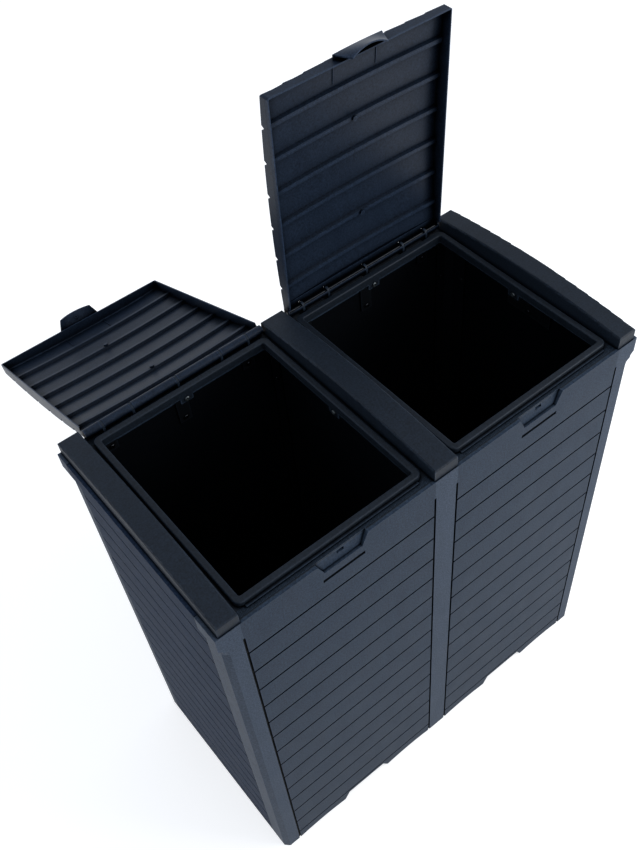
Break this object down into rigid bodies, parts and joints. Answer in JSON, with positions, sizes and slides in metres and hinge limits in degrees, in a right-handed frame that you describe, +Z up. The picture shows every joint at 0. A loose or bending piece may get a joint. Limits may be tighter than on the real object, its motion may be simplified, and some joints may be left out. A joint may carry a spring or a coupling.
{
  "type": "trash can",
  "caption": "Dark grey plastic outdoor trash can with two compartments, plank-grooved walls and two arched hinged lids with finger tabs",
  "frame": {"origin": "on the floor under the middle of the body, at the foot of the centre divider", "axes": "X to the right seen from the front, Y from front to back, Z up"},
  "size_m": [0.843, 0.8394, 1.3406],
  "materials": {
    "plastic": "fine moulded grain, dark blue-grey",
    "black_steel": "steel with a dark oxide finish",
    "zinc": "bright zinc plate"
  },
  "bodies": {
    "carcass": {"front_panel": "plastic", "back_panel": "plastic", "side_panel_left": "plastic", "side_panel_right": "plastic", "centre_divider": "plastic", "floor_tray_left": "plastic", "floor_tray_right": "plastic", "corner_post_front_left": "plastic", "corner_post_front_right": "plastic", "corner_post_rear_left": "plastic", "corner_post_rear_right": "plastic", "top_frame_left": "plastic", "top_frame_right": "plastic", "crossbar_left": "plastic", "crossbar_middle": "plastic", "crossbar_right": "plastic", "hinge_hooks_left": "plastic", "hinge_hooks_right": "plastic", "hinge_rod_left": "black_steel", "hinge_rod_right": "black_steel", "rim_screws": "zinc", "deck_screws": "black_steel", "post_screws": "black_steel", "divider_screws": "black_steel"},
    "left_lid": {"lid_left": "plastic"},
    "right_lid": {"lid_right": "plastic"}
  },
  "joints": [
    {"name": "left_hinge", "type": "hinge", "parent": "carcass", "child": "left_lid", "pos_m": [-0.20025, 0.21, 0.909], "axis": [-1, 0, 0], "range_deg": [-201, 0]},
    {"name": "right_hinge", "type": "hinge", "parent": "carcass", "child": "right_lid", "pos_m": [0.20025, 0.21, 0.909], "axis": [-1, 0, 0], "range_deg": [-88, 113]}
  ]
}
